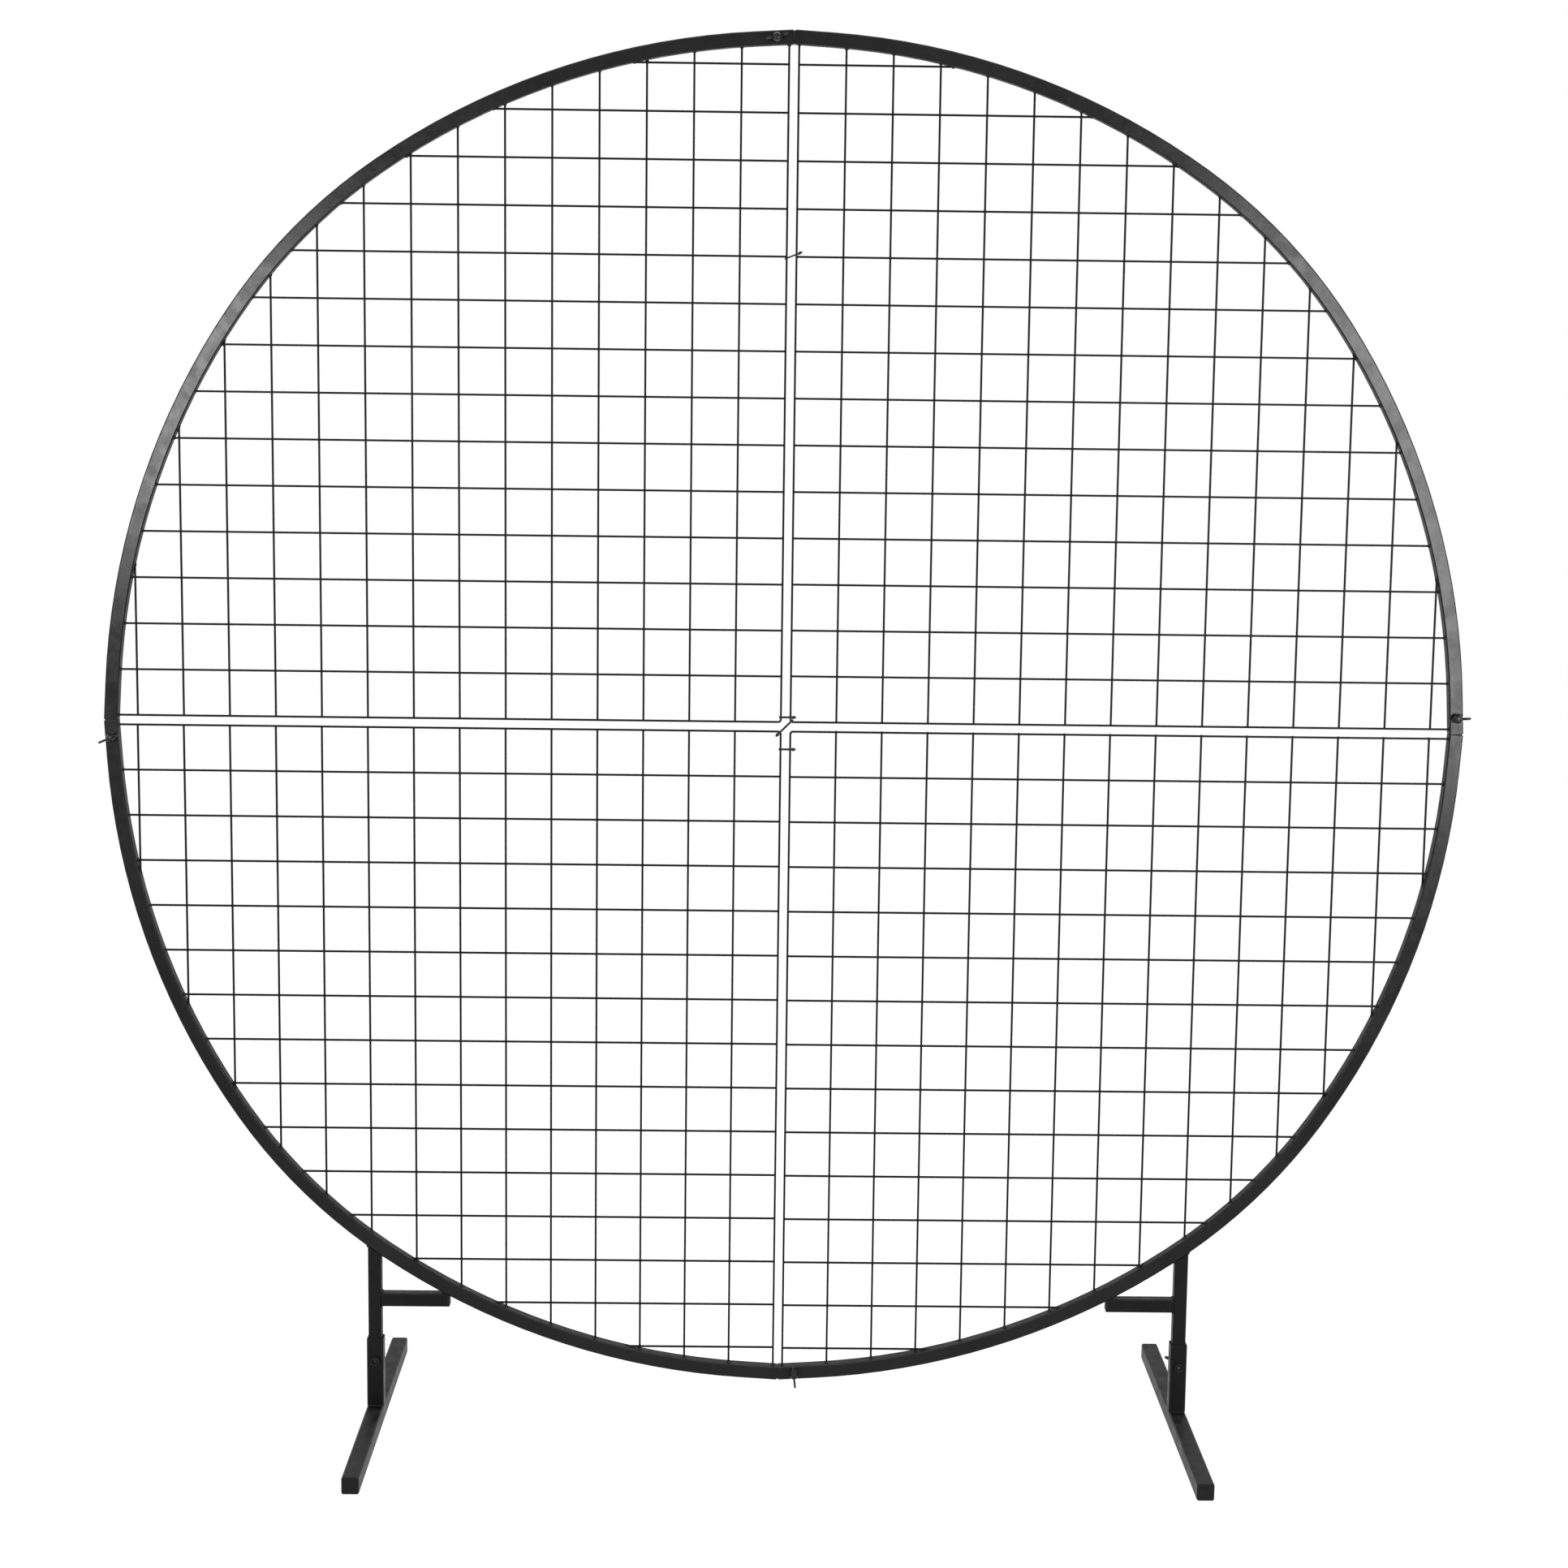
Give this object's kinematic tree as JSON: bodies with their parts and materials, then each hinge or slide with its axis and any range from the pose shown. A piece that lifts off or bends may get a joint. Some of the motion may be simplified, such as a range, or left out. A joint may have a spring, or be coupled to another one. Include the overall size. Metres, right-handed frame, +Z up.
{
  "type": "mesh backdrop stand",
  "caption": "Free-standing round backdrop stand: a ring of square steel tube in bolted quarters, filled with welded wire mesh, on T-shaped feet.",
  "frame": {"origin": "on the floor, midway between the two feet and in the middle plane of the ring", "axes": "+X to the right, +Y to the back and +Z up, seen from the front, where the wing screws of the ring are"},
  "size_m": [2.0091, 0.6, 2.07],
  "materials": {
    "ring_paint": "satin black powder coat",
    "wire_paint": "satin black powder coat",
    "foot_paint": "satin black powder coat",
    "nut_paint": "satin black powder coat",
    "screw_metal": "smooth black coating",
    "spigot_steel": "plain rolled steel",
    "plug_plastic": "matt black",
    "tie_nylon": "matt black"
  },
  "bodies": {
    "stand": {"back_wires_lower_left": "wire_paint", "back_wires_lower_right": "wire_paint", "back_wires_upper_left": "wire_paint", "back_wires_upper_right": "wire_paint", "brace_left": "foot_paint", "brace_plugs": "plug_plastic", "brace_right": "foot_paint", "cable_tie_diagonal": "tie_nylon", "cable_tie_lower": "tie_nylon", "cable_tie_near_middle": "tie_nylon", "cable_tie_upper": "tie_nylon", "edge_wire_lower_left": "wire_paint", "edge_wire_lower_right": "wire_paint", "edge_wire_upper_left": "wire_paint", "edge_wire_upper_right": "wire_paint", "foot_bar_left": "foot_paint", "foot_bar_right": "foot_paint", "foot_nuts": "nut_paint", "foot_plugs": "plug_plastic", "front_wires_lower_left": "wire_paint", "front_wires_lower_right": "wire_paint", "front_wires_upper_left": "wire_paint", "front_wires_upper_right": "wire_paint", "joint_nuts": "nut_paint", "post_left": "foot_paint", "post_right": "foot_paint", "ring_quarter_lower_left": "ring_paint", "ring_quarter_lower_right": "ring_paint", "ring_quarter_upper_left": "ring_paint", "ring_quarter_upper_right": "ring_paint", "ring_spigot_bottom": "spigot_steel", "ring_spigot_left": "spigot_steel", "ring_spigot_right": "spigot_steel", "ring_spigot_top": "spigot_steel", "socket_left": "foot_paint", "socket_right": "foot_paint"},
    "wing_screw_right": {"joint_wing_screw_right": "screw_metal"},
    "wing_screw_top": {"joint_wing_screw_top": "screw_metal"},
    "wing_screw_left": {"joint_wing_screw_left": "screw_metal"},
    "wing_screw_bottom": {"joint_wing_screw_bottom": "screw_metal"},
    "foot_screw_left": {"foot_wing_screw_left": "screw_metal"},
    "foot_screw_right": {"foot_wing_screw_right": "screw_metal"}
  },
  "joints": [
    {"name": "turn_wing_screw_right", "type": "hinge", "parent": "stand", "child": "wing_screw_right", "pos_m": [0.98859, -0.0195, 1.09485], "axis": [0, -1, 0], "range_deg": [0, 450]},
    {"name": "turn_wing_screw_top", "type": "hinge", "parent": "stand", "child": "wing_screw_top", "pos_m": [-0.02485, -0.0195, 2.05859], "axis": [0, -1, 0], "range_deg": [0, 450]},
    {"name": "turn_wing_screw_left", "type": "hinge", "parent": "stand", "child": "wing_screw_left", "pos_m": [-0.98859, -0.0195, 1.04515], "axis": [0, -1, 0], "range_deg": [0, 450]},
    {"name": "turn_wing_screw_bottom", "type": "hinge", "parent": "stand", "child": "wing_screw_bottom", "pos_m": [0.02485, -0.0195, 0.08141], "axis": [0, -1, 0], "range_deg": [0, 450]},
    {"name": "turn_foot_screw_left", "type": "hinge", "parent": "stand", "child": "foot_screw_left", "pos_m": [-0.61, 0.0127, 0.096], "axis": [0, 1, 0], "range_deg": [0, 1530]},
    {"name": "turn_foot_screw_right", "type": "hinge", "parent": "stand", "child": "foot_screw_right", "pos_m": [0.61, 0.0127, 0.096], "axis": [0, 1, 0], "range_deg": [0, 1530]}
  ]
}
